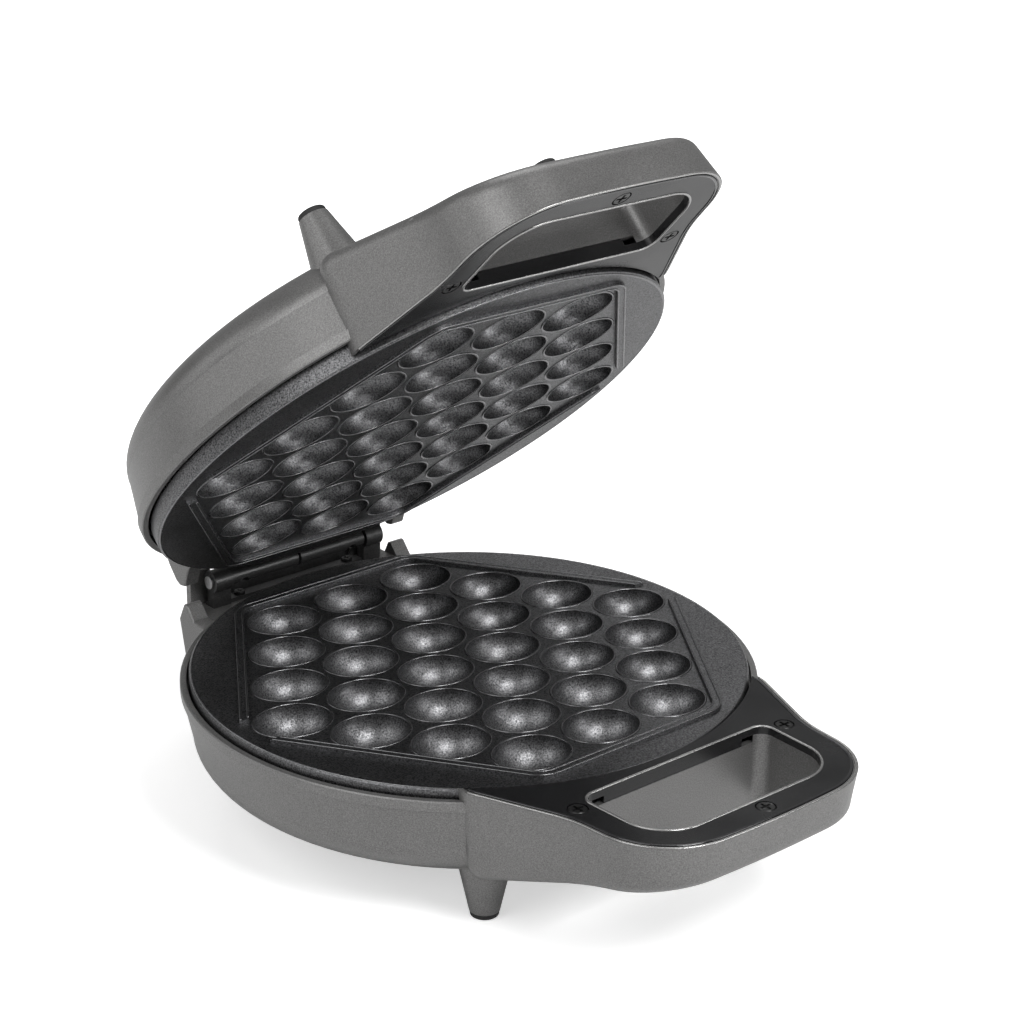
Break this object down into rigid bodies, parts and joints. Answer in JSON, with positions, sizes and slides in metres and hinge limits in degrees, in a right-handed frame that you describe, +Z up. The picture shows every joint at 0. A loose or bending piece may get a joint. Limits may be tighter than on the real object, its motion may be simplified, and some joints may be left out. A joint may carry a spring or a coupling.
{
  "type": "bubble waffle maker",
  "caption": "Tabletop clamshell bubble waffle maker: round non-stick plates with egg-shaped bowls, looped handles, cone feet and a rear hinge, shown half open.",
  "frame": {"origin": "centre of the bounding box's bottom face, on the table under the pads, with the lid at the pictured opening", "axes": "+X along the hinge, -Y towards the handles, +Z up"},
  "size_m": [0.198, 0.2678, 0.2427],
  "materials": {
    "shell_paint": "speckled grey metallic paint, satin",
    "cover_black": "moulded black, satin",
    "screw_black": "blackened steel",
    "plate_nonstick": "cast aluminium with dark non-stick coating",
    "element_steel": "dull steel tube",
    "reflector_metal": "bright thin sheet",
    "screw_steel": "zinc plated",
    "pad_rubber": "matt black",
    "hinge_black": "black enamel, satin",
    "block_plastic": "heat-proof moulding",
    "lens_red": "clear red",
    "lens_green": "clear green"
  },
  "bodies": {
    "base": {"base_shell": "shell_paint", "base_handle_cover": "cover_black", "base_cover_screws": "screw_black", "base_plate": "plate_nonstick", "base_heating_element": "element_steel", "base_reflector": "reflector_metal", "base_plate_screws": "screw_steel", "base_foot_pads": "pad_rubber", "base_hinge_bracket": "hinge_black", "base_hinge_screws": "screw_black", "hinge_pin": "screw_steel", "cord_bush": "pad_rubber", "terminal_block": "block_plastic", "thermostat": "reflector_metal"},
    "lid": {"lid_shell": "shell_paint", "lid_handle_cover": "cover_black", "lid_cover_screws": "screw_black", "lid_plate": "plate_nonstick", "lid_heating_element": "element_steel", "lid_reflector": "reflector_metal", "lid_plate_screws": "screw_steel", "lid_foot_pads": "pad_rubber", "lid_hinge_bracket": "hinge_black", "lid_hinge_screws": "screw_black", "thermal_fuse": "reflector_metal", "power_lamp_lens": "lens_red", "ready_lamp_lens": "lens_green", "lamp_holder": "block_plastic"}
  },
  "joints": [
    {"name": "lid_hinge", "type": "hinge", "parent": "base", "child": "lid", "pos_m": [0, 0.11582, 0.0576], "axis": [-1, 0, 0], "range_deg": [-45, 45]}
  ]
}
